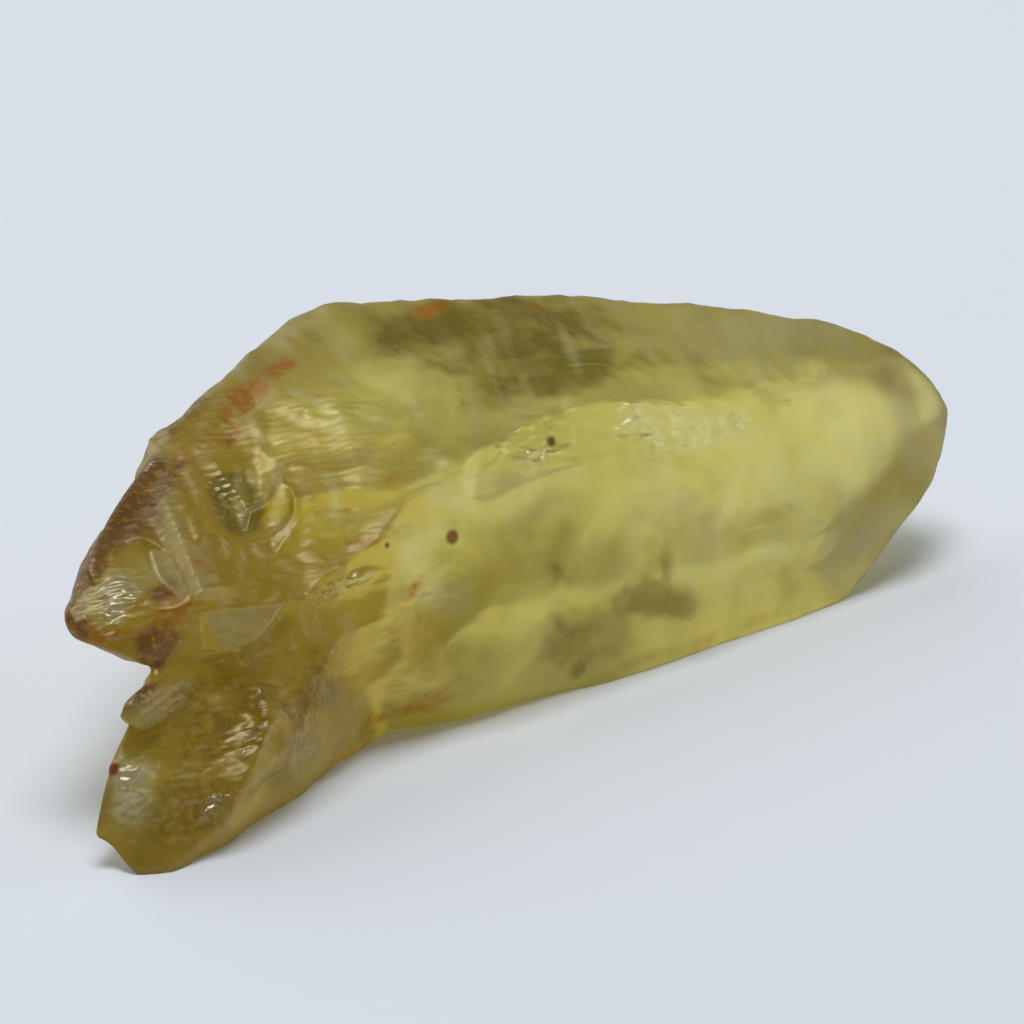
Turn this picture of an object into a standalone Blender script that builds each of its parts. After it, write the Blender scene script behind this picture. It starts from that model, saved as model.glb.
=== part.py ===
"""A rough piece of lemon topaz: one broken, see-through crystal that rests on a flat underside.

The stone is 62 mm long. A long body with flat crystal faces runs along X. At its left end a spur sticks out
over a notch, and below the notch a leg runs down to the ground towards the front.

Every point of the surface lies on a ray that starts on a line inside the stone. The ray ends where it leaves
the body or the leg, each the convex hull of a few corners, and a relief of chips, ledges and growth lines
moves its end in or out. Scars then cut shallow bowls into the surface, and shards, small convex pieces, stand
out of it. The stone is cut flat at the ground. Lengths in the tables are in millimetres.
"""

import bmesh
import bpy
import numpy as np

MM = 0.001
NAME = "topaz_crystal"
GROUND_BLOCK = 200 * MM

# Rows run from the left end to the right end, columns go round the stone. The shape is worked out on this
# fine grid, then thinned to fewer triangles, which leaves small faces along edges and large ones between.
ROWS = 150
COLUMNS = 160
SMOOTHINGS = 3
TRIANGLES = 9400

# The line inside the stone, and how much of the rows each round end gets, as a length beside the line's own.
SPINE_LEFT = np.array([-15.0, -1.5, 8.0])
SPINE_RIGHT = np.array([17.0, -0.5, 6.5])
LEFT_END = 26.0
RIGHT_END = 20.0

# Corners of the body: the far top edge, the right end, the near foot, the near shoulder, the rind, the spur.
BODY = (
    (-4.2, 10.4, 17.9), (1.5, 9.5, 17.3), (8.7, 8.4, 16.6), (12.5, 7.5, 15.7), (16.7, 5.9, 14.3),
    (22.4, 4.3, 13.2), (25.2, 3.2, 12.5), (27.0, 0.4, 11.1), (29.2, -0.9, 9.1), (29.8, -2.1, 7.8),
    (26.8, -4.3, 6.1), (23.8, -5.7, 3.8), (21.6, -5.9, 1.9), (17.5, -5.5, -1.5), (12.3, -6.6, -1.5),
    (4.1, -6.8, -1.5), (-4.5, -5.5, -1.5), (-9.8, -4.9, -1.5), (3.3, -2.4, 14.4), (10.8, -2.7, 13.1),
    (16.5, -1.9, 12.3), (22.8, -1.2, 10.9), (-3.9, -2.8, 14.1), (-6.5, 11.5, 17.3), (-10.3, 10.4, 16.9),
    (-15.7, 7.5, 16.3), (-21.2, 4.6, 15.4), (-31.9, -4.4, 12.0), (-31.8, -4.9, 11.2), (-31.1, -5.8, 10.6),
    (-28.6, -8.4, 9.8), (-30.4, -4.0, 12.6), (-27.9, -2.4, 13.5), (-25.3, -0.3, 14.1), (-25.0, -7.0, 12.2),
    (-13.3, 6.0, 16.9), (-16.3, 2.3, 16.1), (-7.6, 4.6, 16.9),
    (-12.9, 9.2, -1.5), (7.5, 9.2, -1.5), (18.1, 5.0, -1.5), (-10.0, 12.5, 9.0), (8.0, 11.2, 8.0),
    (24.0, 4.7, 6.0), (-21.0, 5.0, 8.0), (-24.0, 0.0, 9.0),
)

# Corners of the leg: its tip on the ground, the knob under the notch, the crest, the right foot, its root.
LEG = (
    (-33.4, -10.0, 1.6), (-32.4, -9.9, 3.2), (-31.9, -12.2, -0.6), (-29.8, -12.9, -0.3), (-28.3, -12.4, 0.4),
    (-31.2, -9.7, 6.1), (-30.9, -9.1, 8.4), (-28.4, -8.6, 9.7), (-25.0, -12.4, 4.4), (-18.5, -10.4, 6.3),
    (-11.8, -6.6, 8.0), (-19.5, -8.5, -1.0), (-15.3, -6.5, -1.0), (-11.5, -4.8, -1.0), (-24.5, -6.5, 12.0),
    (-17.0, -6.0, 11.5), (-15.0, 1.5, 8.5), (-8.0, -1.0, 8.0), (-9.0, -2.0, 2.0), (-22.0, -3.0, 5.0),
)

# How sharp the corners between faces are, and how far the surface swells to make up for their rounding.
CORNER_POWER = 70.0
CORNER_SWELL = 1.012
FACING_POWER = 25.0
JOINT_BLEND = 0.35
LEAST_GAP = 0.05

# Small convex pieces that stand out of the broken end: the rib, the flat spur over the leg, the knob, and the
# upper and lower half of the rind.
SHARDS = (
    (
        (-22.2, -0.2, 14.9), (-23.9, -6.9, 12.4), (-24.8, -6.9, 11.9), (-24.6, -1.0, 13.7), (-20.9, -1.2, 13.5),
        (-22.5, -6.6, 11.2), (-25.6, -5.6, 10.8), (-22.5, -2.0, 11.0),
    ),
    (
        (-24.4, -7.3, 11.5), (-18.9, -7.5, 10.8), (-21.9, -9.1, 9.7), (-24.1, -9.2, 9.6), (-21.0, -5.0, 9.0),
        (-24.5, -6.0, 9.0), (-19.0, -5.5, 9.5),
    ),
    (
        (-30.4, -9.9, 7.6), (-29.3, -10.4, 7.9), (-29.2, -9.7, 9.1), (-30.3, -9.1, 9.2), (-30.9, -9.2, 8.2),
        (-29.3, -9.9, 6.9), (-28.5, -8.0, 8.0), (-30.0, -8.2, 7.0),
    ),
    (
        (-22.6, 2.0, 15.2), (-19.9, 4.3, 15.9), (-17.2, 5.8, 16.3), (-14.1, 6.9, 16.8), (-10.4, 9.2, 17.3),
        (-13.6, 5.6, 16.5), (-19.0, 2.6, 15.4), (-16.0, 6.0, 14.0), (-20.0, 3.0, 13.0),
    ),
    (
        (-30.3, -3.6, 13.2), (-27.6, -1.9, 14.2), (-24.6, 0.6, 14.9), (-20.6, 3.4, 15.7), (-26.0, -1.8, 13.7),
        (-29.0, -4.0, 12.9), (-25.0, 1.0, 12.0), (-22.0, 1.2, 14.6),
    ),
)
SHARD_POWER = 160.0

# Scars left by flakes, each a shallow bowl cut into the stone: a place on the surface, the way that it faces,
# its long direction, half length, half width and depth. Nearly flat ones are facets.
SCARS = (
    ((-17.5, -0.6, 14.0), (-0.10, -0.30, 0.95), (0.7, 0.7, 0.2), 2.3, 1.2, 0.40),
    ((-18.3, -1.4, 13.7), (-0.50, -0.25, 0.83), (-0.2, 0.9, 0.3), 2.2, 0.9, 0.50),
    ((-17.7, -1.9, 13.5), (-0.05, -0.66, 0.75), (0.9, 0.2, 0.2), 1.6, 0.9, 0.40),
    ((-26.0, -3.6, 13.1), (-0.10, -0.55, 0.83), (0.2, 0.9, 0.5), 2.6, 1.3, 0.60),
    ((-20.6, -3.9, 13.0), (0.10, -0.62, 0.78), (0.9, 0.2, 0.1), 3.4, 1.5, 0.40),
    ((-21.0, -6.4, 11.9), (0.12, -0.86, 0.50), (1.0, 0.0, 0.2), 3.4, 1.8, 0.30),
    ((-28.0, -5.0, 12.6), (-0.28, -0.46, 0.84), (0.8, 0.5, 0.3), 3.0, 2.0, 0.20),
    ((-26.0, -7.2, 11.4), (-0.35, -0.72, 0.60), (0.9, -0.2, 0.2), 2.6, 1.4, 0.25),
    ((-30.4, -6.4, 10.7), (-0.55, -0.70, 0.45), (0.7, -0.5, 0.0), 2.2, 1.1, 0.20),
    ((-24.4, -9.4, 7.5), (-0.32, -0.78, 0.54), (0.9, 0.1, 0.4), 5.2, 3.6, 0.95),
    ((-19.2, -8.3, 8.6), (-0.05, -0.85, 0.52), (0.8, 0.2, 0.4), 3.4, 2.2, 0.50),
    ((-28.4, -12.0, 3.0), (-0.12, -0.96, 0.24), (0.9, 0.1, 0.3), 3.0, 2.3, 0.50),
    ((-31.2, -10.6, 3.6), (-0.62, -0.74, 0.28), (0.2, 0.2, 0.9), 2.8, 1.5, 0.30),
    ((-21.9, -11.4, 4.9), (0.25, -0.90, 0.36), (0.8, 0.3, 0.4), 5.4, 1.7, 0.45),
    ((-20.4, -10.0, 1.6), (0.30, -0.94, -0.10), (0.8, 0.3, 0.1), 4.6, 1.5, 0.35),
    ((-16.2, -8.4, 4.5), (0.22, -0.96, 0.16), (0.6, 0.2, 0.7), 3.6, 2.2, 0.50),
    ((-14.6, -6.9, 9.6), (0.05, -0.90, 0.43), (0.9, 0.0, 0.3), 3.4, 1.8, 0.35),
    ((-9.4, -6.6, 8.8), (0.02, -0.96, 0.28), (0.5, 0.0, 0.9), 4.2, 2.6, 0.35),
    ((-14.6, -4.4, 12.9), (-0.12, -0.66, 0.74), (0.9, 0.0, 0.2), 4.2, 2.2, 0.30),
    ((-12.6, 1.2, 15.6), (-0.12, -0.30, 0.95), (0.9, -0.4, 0.0), 5.2, 2.6, 0.30),
    ((-7.0, 5.6, 16.9), (-0.05, -0.16, 0.98), (0.6, -0.8, 0.0), 5.0, 2.6, 0.35),
    ((-5.4, -2.4, 13.7), (-0.10, -0.62, 0.78), (1.0, 0.0, 0.0), 3.6, 1.4, 0.25),
    ((0.6, -3.8, 12.6), (0.00, -0.72, 0.69), (0.9, 0.1, -0.1), 3.8, 1.9, 0.35),
    ((-22.4, 3.4, 14.2), (-0.62, 0.30, 0.72), (0.8, 0.6, 0.2), 3.6, 1.6, 0.30),
    ((-11.5, 12.4, 8.0), (-0.25, 0.96, 0.05), (0.6, 0.3, 0.7), 8.5, 4.8, 1.3),
    ((4.0, 11.4, 6.5), (0.05, 0.99, -0.12), (0.9, 0.0, 0.4), 9.0, 4.6, 1.1),
    ((18.0, 7.8, 8.0), (0.35, 0.93, 0.10), (0.6, -0.2, -0.8), 5.5, 3.6, 0.9),
    ((-22.5, 3.8, 10.0), (-0.80, 0.55, 0.20), (0.4, 0.6, 0.6), 5.0, 3.4, 1.0),
)

# How far from its middle a bowl still cuts, as a squared share of its half sizes, and the least slope that a
# ray is taken to have towards it.
SCAR_REACH = 2.2
LEAST_SLOPE = 0.4

# Ledges: place at the shallow start, facing, the run down to the wall, half width, depth at the wall.
LEDGES = (
    ((-17.5, 6.0, 15.9), (-0.20, 0.20, 0.96), (2.0, -3.2, 0.2), 4.0, 0.5),
    ((-5.0, 6.0, 16.9), (0.10, -0.20, 0.97), (-3.4, -0.6, 0.1), 5.5, 0.5),
    ((-3.0, 11.6, 10.0), (0.00, 0.98, 0.20), (5.0, 0.0, 2.5), 4.5, 0.8),
)
WALL = 0.35

# The relief: size of its cells, height, and the number that seeds its pattern.
WARP = (6.0, 1.1, 31)
FINE_WARP = (2.2, 0.55, 131)
SWELLS = ((13.0, 0.45, 3), (4.5, 0.26, 11))
CHIPS = ((8.0, 1.15, 5),)

# Growth lines lie across the long axis on the prism faces, those that look up or back.
GROWTH_AXIS = np.array([0.955, -0.234, -0.180])
GROWTH_LINES = ((2.4, 0.22, 41),)
GROWTH_STRETCH = 7.0
PRISM_CALM = 0.55

# The look of the crystal.
COLOUR = (0.42, 0.36, 0.06, 1.0)
ROUGHNESS = 0.28
REFRACTION = 1.61
SEE_THROUGH = 0.7


def hull_faces(corners):
    """Outward normals and distances of the planes round the convex hull of the corners."""
    hull = bmesh.new()
    for corner in corners:
        hull.verts.new(corner)
    bmesh.ops.convex_hull(hull, input=hull.verts)
    hull.normal_update()
    normals = np.array([face.normal[:] for face in hull.faces])
    places = np.array([face.verts[0].co[:] for face in hull.faces])
    hull.free()
    distances = (normals * places).sum(1)
    inward = normals @ np.mean(corners, axis=0) > distances
    normals[inward] *= -1.0
    distances[inward] *= -1.0
    faces = np.unique(np.round(np.column_stack((normals, distances)), 3), axis=0)
    return faces[:, :3], faces[:, 3]


def leaving_length(starts, ways, corners, power=CORNER_POWER):
    """How far each ray runs before it leaves a hull, where it enters it, and how the face there looks.

    The length is one over the power mean of (speed towards a face) / (distance from it) over all faces, which
    rounds the corners. The facing is the mean of the face normals, weighted by a lower power of the same rates.
    A ray that starts outside a face and runs towards it enters the hull only where it has crossed that face.
    """
    normals, distances = hull_faces(corners)
    gaps = distances - starts @ normals.T
    speeds = ways @ normals.T
    rates = np.maximum(speeds, 0.0) / np.maximum(gaps, LEAST_GAP)
    largest = rates.max(1)
    rates /= largest[:, None]
    spread = (rates**power).sum(1) ** (1.0 / power)
    facing = rates**FACING_POWER @ normals
    facing /= np.linalg.norm(facing, axis=1)[:, None]
    enters = np.where(speeds < 0.0, gaps / np.minimum(speeds, -1e-9), 0.0).max(1)
    return CORNER_SWELL / (largest * spread), enters, facing


def swell_noise(points, seed):
    """Gradient noise between about -1 and 1: smooth, with one bump or hollow in each unit cell."""
    shuffled = np.random.default_rng(seed).permutation(256)
    slopes = np.random.default_rng(seed + 1).normal(size=(256, 3))
    slopes /= np.linalg.norm(slopes, axis=1)[:, None]
    cell = np.floor(points).astype(int)
    inside = points - cell
    fade = inside**3 * (inside * (inside * 6.0 - 15.0) + 10.0)
    total = np.zeros(len(points))
    for corner in np.ndindex(2, 2, 2):
        x, y, z = ((cell + corner) % 256).T
        slope = slopes[shuffled[(shuffled[(shuffled[x] + y) % 256] + z) % 256]]
        weight = np.where(corner, fade, 1.0 - fade).prod(1)
        total += weight * ((inside - corner) * slope).sum(1)
    return total * 1.6


def chip_noise(points, seed):
    """Lower envelope of tilted dishes round scattered seeds, one to a unit cell: chips with sharp ridges.

    A dish is 0.55 times the squared distance from its seed, plus a slope of its own, plus a lift of its own.
    """
    shuffled = np.random.default_rng(seed).permutation(256)
    places = np.random.default_rng(seed + 1).random((256, 3))
    tilts = np.random.default_rng(seed + 2).normal(size=(256, 3)) * 0.28
    lifts = np.random.default_rng(seed + 3).random(256) * 0.45
    cell = np.floor(points).astype(int)
    lowest = np.full(len(points), np.inf)
    for step in np.ndindex(3, 3, 3):
        other = cell + np.array(step) - 1
        x, y, z = (other % 256).T
        pick = shuffled[(shuffled[(shuffled[x] + y) % 256] + z) % 256]
        apart = points - other - places[pick]
        dish = 0.55 * (apart**2).sum(1) + (apart * tilts[pick]).sum(1) + lifts[pick]
        lowest = np.minimum(lowest, dish)
    return lowest


def local_frame(facing, run):
    """Unit vectors along the run, across it and out of the surface, the run laid square to the facing."""
    out = np.array(facing) / np.linalg.norm(facing)
    along = np.array(run) - out * np.dot(run, out)
    along /= np.linalg.norm(along)
    return along, np.cross(out, along), out


def scarred(points, moved, ways, place, facing, run, half_length, half_width, depth):
    """Points cut back along their rays to a bowl, where they stand outside it.

    The bowl is the depth below the place in its middle, and rises with the squared distance, measured in half
    lengths and half widths, so that it leaves the surface at a rim. The distance is read at the warped points,
    which makes the rim irregular.
    """
    along, across, out = local_frame(facing, run)
    apart = moved - place
    distance = (apart @ along / half_length) ** 2 + (apart @ across / half_width) ** 2
    height = (points - place) @ out
    near = (distance < SCAR_REACH) & (height > -half_width)
    over = np.where(near, height - depth * (distance - 1.0), 0.0)
    slope = np.maximum(ways @ out, LEAST_SLOPE)
    return points - ways * (np.maximum(over, 0.0) / slope)[:, None]


def ledge_depth(points, place, facing, run, half_width, depth):
    """Depth of a ledge: it grows evenly along the run and ends at a steep wall, and its sides come up softly."""
    along, across, out = local_frame(facing, run)
    length = np.linalg.norm(run)
    apart = points - place
    place_on_run = apart @ along / length
    wall = np.clip((1.0 - place_on_run) * length / WALL, 0.0, 1.0)
    side = np.clip(2.5 * (1.0 - np.abs(apart @ across) / half_width), 0.0, 1.0)
    near = np.abs(apart @ out) < length
    return np.where(near, depth * np.clip(place_on_run, 0.0, 1.0) * wall * side, 0.0)


def warped(points, warps=(WARP,)):
    """Points moved by smooth noise, so that a pattern read there loses its regular shape."""
    moved = points
    for size, reach, seed in warps:
        moves = [swell_noise(points / size, seed + 10 * axis) for axis in range(3)]
        moved = moved + reach * np.column_stack(moves)
    return moved


def growth_lines(points):
    """Ridges across the long axis: noise that is short along the axis and stretched across it."""
    along = points @ GROWTH_AXIS
    across = (points - along[:, None] * GROWTH_AXIS) / GROWTH_STRETCH
    height = np.zeros(len(points))
    for size, tall, seed in GROWTH_LINES:
        stretched = across / size
        stretched += (along / size)[:, None] * GROWTH_AXIS
        height += tall * swell_noise(stretched, seed)
    return height


def relief(points, facing):
    """How far the surface stands out: swells and chips, less on prism faces, growth lines and ledges."""
    prism = np.clip((np.maximum(facing[:, 2], facing[:, 1]) - 0.80) / 0.12, 0.0, 1.0)
    moved = warped(points)
    height = np.zeros(len(points))
    for size, tall, seed in SWELLS:
        height += tall * swell_noise(points / size, seed)
    for size, tall, seed in CHIPS:
        height += tall * (chip_noise(moved / size, seed) - 0.35) * (1.0 - PRISM_CALM * prism)
    height += growth_lines(points) * prism
    for ledge in LEDGES:
        height -= ledge_depth(moved, *ledge)
    return height


def rays(along, around):
    """Starts and directions of the rays.

    along runs from 0 at the left end to 1 at the right end, and around is the angle about the inner line.
    Over the ends the ray swings from the line's own direction to square with it, over the line it moves on.
    """
    line = SPINE_RIGHT - SPINE_LEFT
    length = np.linalg.norm(line)
    line = line / length
    side = np.cross((0.0, 0.0, 1.0), line)
    side /= np.linalg.norm(side)
    up = np.cross(line, side)
    place = along * (LEFT_END + length + RIGHT_END)
    left_turn = np.minimum(place / LEFT_END, 1.0)
    right_turn = np.maximum((place - LEFT_END - length) / RIGHT_END, 0.0)
    swing = (left_turn + right_turn) * np.pi / 2.0
    starts = SPINE_LEFT + np.clip(place - LEFT_END, 0.0, length)[:, None] * line
    square = np.cos(around)[:, None] * side + np.sin(around)[:, None] * up
    ways = np.sin(swing)[:, None] * square - np.cos(swing)[:, None] * line
    return starts, ways


def stone_points(along, around):
    """Points of the stone's surface, in millimetres, before it is cut flat at the ground.

    The body and the leg are joined by the larger of their two lengths, plus a small smooth blend.
    """
    starts, ways = rays(along, around)
    length, _, facing = leaving_length(starts, ways, BODY)
    leg_length, enters, leg_facing = leaving_length(starts, ways, LEG)
    leg_length[enters > length] = 0.0
    in_leg = leg_length > length
    facing[in_leg] = leg_facing[in_leg]
    gap = np.abs(length - leg_length)
    length = np.maximum(length, leg_length) + JOINT_BLEND * np.log1p(np.exp(-gap / JOINT_BLEND))
    bare = starts + ways * length[:, None]
    points = bare + ways * relief(bare, facing)[:, None]
    moved = warped(points, (WARP, FINE_WARP))
    for scar in SCARS:
        points = scarred(points, moved, ways, *scar)
    for shard in SHARDS:
        shard_length, enters, _ = leaving_length(starts, ways, shard, SHARD_POWER)
        reach = ((points - starts) * ways).sum(1)
        out = (enters < shard_length) & (enters < length) & (shard_length > reach)
        points[out] = (starts + ways * shard_length[:, None])[out]
    return points


def crystal_material():
    """Clear yellow crystal with a softly worn skin."""
    material = bpy.data.materials.new("lemon_crystal")
    material.use_nodes = True
    shader = material.node_tree.nodes["Principled BSDF"]
    shader.inputs["Base Color"].default_value = COLOUR
    shader.inputs["Roughness"].default_value = ROUGHNESS
    shader.inputs["Metallic"].default_value = 0.0
    shader.inputs["IOR"].default_value = REFRACTION
    shader.inputs["Transmission Weight"].default_value = SEE_THROUGH
    material.diffuse_color = COLOUR
    return material


def stone_mesh():
    """A UV sphere whose vertices are carried out onto the stone, over the middle of its bounding box."""
    ball = bmesh.new()
    bmesh.ops.create_uvsphere(ball, u_segments=COLUMNS, v_segments=ROWS, radius=1.0)
    unit = np.array([vertex.co[:] for vertex in ball.verts])
    along = np.arccos(np.clip(unit[:, 2], -1.0, 1.0)) / np.pi
    around = np.arctan2(unit[:, 1], unit[:, 0])
    points = stone_points(along, around)
    points[:, :2] -= (points.min(0) + points.max(0))[:2] / 2.0
    for vertex, point in zip(ball.verts, points * MM):
        vertex.co = point
    bmesh.ops.recalc_face_normals(ball, faces=ball.faces)
    mesh = bpy.data.meshes.new(NAME)
    ball.to_mesh(mesh)
    ball.free()
    mesh.shade_smooth()
    return mesh


def ground_block(collection):
    """The block whose top is the ground, which cuts the stone flat."""
    bpy.ops.mesh.primitive_cube_add(size=GROUND_BLOCK, location=(0.0, 0.0, -GROUND_BLOCK / 2.0))
    block = bpy.context.object
    block.name = "ground_block"
    block.hide_render = True
    block.display_type = "WIRE"
    for other in list(block.users_collection):
        other.objects.unlink(block)
    collection.objects.link(block)
    return block


def main():
    for thing in list(bpy.data.objects):
        bpy.data.objects.remove(thing)
    parts = bpy.data.collections.new("rough_lemon_topaz")
    cutters = bpy.data.collections.new("cutters")
    bpy.context.scene.collection.children.link(parts)
    bpy.context.scene.collection.children.link(cutters)
    stone = bpy.data.objects.new(NAME, stone_mesh())
    stone.data.materials.append(crystal_material())
    parts.objects.link(stone)
    easing = stone.modifiers.new("eased_edges", "SMOOTH")
    easing.factor = 0.5
    easing.iterations = SMOOTHINGS
    triangles = sum(len(face.vertices) - 2 for face in stone.data.polygons)
    thinning = stone.modifiers.new("fewer_triangles", "DECIMATE")
    thinning.ratio = TRIANGLES / triangles
    cut = stone.modifiers.new("flat_underside", "BOOLEAN")
    cut.operation = "DIFFERENCE"
    cut.object = ground_block(cutters)


if __name__ == "__main__":
    main()
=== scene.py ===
"""The looks of a rough piece of lemon topaz: a worn, cloudy, see-through crystal on a pale floor.

One piece, worn_crystal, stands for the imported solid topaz_crystal. Its surface is the same function of two
parameters as the solid's, with finer relief and four table entries changed by up to about 1 mm. Places in the
tables are in millimetres, in the frame where the stone was measured. The piece and the camera are moved from
there together, so that the piece stands where the solid does.
"""

import bmesh
import bpy
import numpy as np
from mathutils import Matrix, Vector


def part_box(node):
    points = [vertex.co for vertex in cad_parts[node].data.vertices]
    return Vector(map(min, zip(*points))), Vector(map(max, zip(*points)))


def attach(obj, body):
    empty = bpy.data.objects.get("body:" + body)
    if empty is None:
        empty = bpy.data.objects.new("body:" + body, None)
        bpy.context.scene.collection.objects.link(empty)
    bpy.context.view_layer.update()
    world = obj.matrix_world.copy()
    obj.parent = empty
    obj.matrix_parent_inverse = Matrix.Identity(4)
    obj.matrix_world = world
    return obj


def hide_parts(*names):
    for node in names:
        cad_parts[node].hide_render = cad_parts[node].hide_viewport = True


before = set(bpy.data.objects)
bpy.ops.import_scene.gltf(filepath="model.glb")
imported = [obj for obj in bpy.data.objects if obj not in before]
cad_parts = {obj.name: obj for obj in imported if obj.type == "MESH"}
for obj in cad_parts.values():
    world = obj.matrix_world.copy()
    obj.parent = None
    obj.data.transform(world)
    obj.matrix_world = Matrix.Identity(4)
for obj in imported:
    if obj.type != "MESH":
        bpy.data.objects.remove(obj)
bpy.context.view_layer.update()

bl_info = {
    "name": "Rough lemon topaz",
    "version": (1, 0, 0),
    "blender": (4, 5, 0),
    "location": "View3D > Sidebar > Topaz",
    "description": "A rough, cloudy, see-through lemon topaz crystal",
    "category": "Add Mesh",
}

SOLID = "topaz_crystal"
PIECE = "worn_crystal"
MM = 0.001
TINY = 1e-9

# The line inside the stone from which every ray starts, and how much of the rows each round end gets.
SPINE_LEFT = np.array([-15.0, -1.5, 8.0])
SPINE_RIGHT = np.array([17.0, -0.5, 6.5])
LEFT_END = 26.0
RIGHT_END = 20.0

# Corners of the body: the far top edge, the right end, the near foot, the near shoulder, the rind, the spur.
BODY = (
    (-4.2, 10.4, 17.9), (1.5, 9.5, 17.3), (8.7, 8.4, 16.6), (12.5, 7.5, 15.7), (16.7, 5.9, 14.3),
    (22.4, 4.3, 13.2), (25.2, 3.2, 12.5), (27.0, 0.4, 11.1), (29.2, -0.9, 9.1), (29.8, -2.1, 7.8),
    (26.8, -4.3, 6.1), (23.8, -5.7, 3.8), (21.6, -5.9, 1.9), (17.5, -5.5, -1.5), (12.3, -6.6, -1.5),
    (4.1, -6.8, -1.5), (-4.5, -5.5, -1.5), (-9.8, -4.9, -1.5), (3.3, -2.4, 14.4), (10.8, -2.7, 13.1),
    (16.5, -1.9, 12.3), (22.8, -1.2, 10.9), (-3.9, -2.8, 14.1), (-6.5, 11.5, 17.3), (-10.3, 10.4, 16.9),
    (-15.7, 7.5, 16.3), (-21.2, 4.6, 15.4), (-31.9, -4.4, 12.0), (-31.8, -4.9, 11.2), (-31.1, -5.8, 10.6),
    (-28.6, -8.4, 9.8), (-30.4, -4.0, 12.6), (-27.9, -2.4, 13.5), (-25.3, -0.3, 14.1), (-25.0, -7.0, 12.2),
    (-13.3, 6.0, 16.9), (-16.3, 2.3, 16.1), (-7.6, 4.6, 16.9),
    (-12.9, 9.2, -1.5), (7.5, 9.2, -1.5), (18.1, 5.0, -1.5), (-10.0, 12.5, 9.0), (8.0, 11.2, 8.0),
    (24.0, 4.7, 6.0), (-21.0, 5.0, 8.0), (-24.0, 0.0, 9.0),
)

# Corners of the leg: its tip on the ground, the knob under the notch, the crest, the right foot, its root.
LEG = (
    (-33.4, -10.0, 1.6), (-32.4, -9.9, 3.2), (-31.9, -12.2, -0.6), (-29.8, -12.9, -0.3), (-28.3, -12.4, 0.4),
    (-31.2, -9.7, 6.1), (-30.9, -9.1, 8.4), (-28.4, -8.6, 9.7), (-25.0, -12.4, 4.4), (-18.5, -10.4, 6.3),
    (-11.8, -6.6, 8.0), (-19.5, -8.5, -1.0), (-15.3, -6.5, -1.0), (-11.5, -4.8, -1.0), (-24.5, -6.5, 12.0),
    (-17.0, -6.0, 11.5), (-15.0, 1.5, 8.5), (-8.0, -1.0, 8.0), (-9.0, -2.0, 2.0), (-22.0, -3.0, 5.0),
)

# How sharp corners are, the swelling that makes up for their rounding, the power that weights the facing, the
# width of the joint between body and leg, and the least gap to a face.
CORNER_POWER = 70.0
CORNER_SWELL = 1.012
FACING_POWER = 25.0
JOINT_BLEND = 0.35
LEAST_GAP = 0.05

# Small convex pieces that stand out of the broken end: the rib, the flat spur over the leg, the knob, and the
# upper and lower half of the rind.
SHARDS = (
    ((-22.2, -0.2, 14.9), (-23.9, -6.9, 12.4), (-24.8, -6.9, 11.9), (-24.6, -1.0, 13.7),
     (-20.9, -1.2, 13.5), (-22.5, -6.6, 11.2), (-25.6, -5.6, 10.8), (-22.5, -2.0, 11.0)),
    ((-24.4, -7.3, 11.5), (-18.9, -7.5, 10.8), (-21.9, -9.1, 9.7), (-24.1, -9.2, 9.6),
     (-21.0, -5.0, 9.0), (-24.5, -6.0, 9.0), (-19.0, -5.5, 9.5)),
    ((-30.4, -9.9, 7.6), (-29.3, -10.4, 7.9), (-29.2, -9.7, 9.1), (-30.3, -9.1, 9.2),
     (-30.9, -9.2, 8.2), (-29.3, -9.9, 6.9), (-28.5, -8.0, 8.0), (-30.0, -8.2, 7.0)),
    ((-22.6, 2.0, 15.2), (-19.9, 4.3, 15.9), (-17.2, 5.8, 16.3), (-14.1, 6.9, 16.8),
     (-10.4, 9.2, 17.3), (-13.6, 5.6, 16.5), (-19.0, 2.6, 15.4), (-16.0, 6.0, 14.0), (-20.0, 3.0, 13.0)),
    ((-29.0, -3.0, 13.2), (-27.6, -1.9, 14.2), (-24.6, 0.6, 14.9), (-20.6, 3.4, 15.7),
     (-26.0, -1.8, 13.7), (-29.0, -4.0, 12.9), (-25.0, 1.0, 12.0), (-22.0, 1.2, 14.6)),
)
SHARD_POWER = 160.0
# How pale each shard shows: painted light on the lit rib and the flat spur, and a paler knob
SHARD_PALENESS = (0.55, 0.55, 0.4, 0.0, 0.0)

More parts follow.
